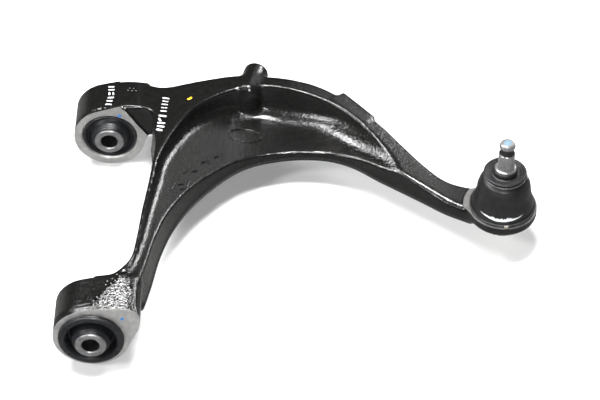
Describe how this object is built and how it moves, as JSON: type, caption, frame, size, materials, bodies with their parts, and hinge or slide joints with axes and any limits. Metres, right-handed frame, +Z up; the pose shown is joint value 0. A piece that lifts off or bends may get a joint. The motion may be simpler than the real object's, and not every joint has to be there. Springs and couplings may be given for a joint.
{
  "type": "suspension control arm",
  "caption": "Lower wheel-suspension control arm: a cast arm with a rubber bush in each of its in-line pivot eyes and a booted ball joint with a pinch-bolt stud at its tip.",
  "frame": {"origin": "centre of the bounding box, at the level of its lowest point, where the two pivot eyes rest", "axes": "+X from the pivot eyes to the ball joint; +Y along the pivot axis, from the front eye to the rear eye; +Z up, along the ball stud"},
  "size_m": [0.388, 0.3018, 0.1085],
  "materials": {
    "cast_paint": "gloss black coating over a cast skin",
    "shell_steel": "dull pressed steel",
    "bush_rubber": "satin",
    "sleeve_steel": "turned, dull",
    "seat_plastic": "natural",
    "spring_steel": "satin",
    "plated_steel": "zinc plated",
    "bright_steel": "ground bright",
    "boot_rubber": "satin"
  },
  "bodies": {
    "arm": {"arm_casting": "cast_paint", "rear_bush_outer_shell": "shell_steel", "front_bush_outer_shell": "shell_steel", "rear_bush_rubber": "bush_rubber", "front_bush_rubber": "bush_rubber", "upper_ball_seat": "seat_plastic", "lower_ball_seat": "seat_plastic", "preload_washer": "spring_steel", "closing_plate": "plated_steel", "plate_retaining_ring": "spring_steel", "dust_boot": "boot_rubber", "boot_base_clip": "spring_steel"},
    "rear_sleeve": {"rear_bush_inner_sleeve": "sleeve_steel"},
    "front_sleeve": {"front_bush_inner_sleeve": "sleeve_steel"},
    "ball": {"stud_ball": "bright_steel"},
    "boot_crown": {"boot_seal_ring": "boot_rubber", "boot_top_clip": "spring_steel"},
    "stud": {"ball_stud": "bright_steel"}
  },
  "joints": [
    {"name": "rear_sleeve_twist", "type": "hinge", "parent": "arm", "child": "rear_sleeve", "pos_m": [-0.16376, 0.10898, 0.03029], "axis": [0, 1, 0], "range_deg": [-25, 25], "stiffness_Nm_per_rad": 57},
    {"name": "front_sleeve_twist", "type": "hinge", "parent": "arm", "child": "front_sleeve", "pos_m": [-0.16376, -0.12562, 0.03029], "axis": [0, 1, 0], "range_deg": [-25, 25], "stiffness_Nm_per_rad": 57},
    {"name": "stud_swing", "type": "hinge", "parent": "arm", "child": "ball", "pos_m": [0.16544, -0.00207, 0.03429], "axis": [0, 1, 0], "range_deg": [-20, 20], "deforming": ["dust_boot"]},
    {"name": "stud_tilt", "type": "hinge", "parent": "ball", "child": "boot_crown", "pos_m": [0.16544, -0.00207, 0.03429], "axis": [1, 0, 0], "range_deg": [-12, 12], "deforming": ["dust_boot"]},
    {"name": "stud_spin", "type": "hinge", "parent": "boot_crown", "child": "stud", "pos_m": [0.16544, -0.00207, 0.03429], "axis": [0, 0, 1], "continuous": true}
  ]
}
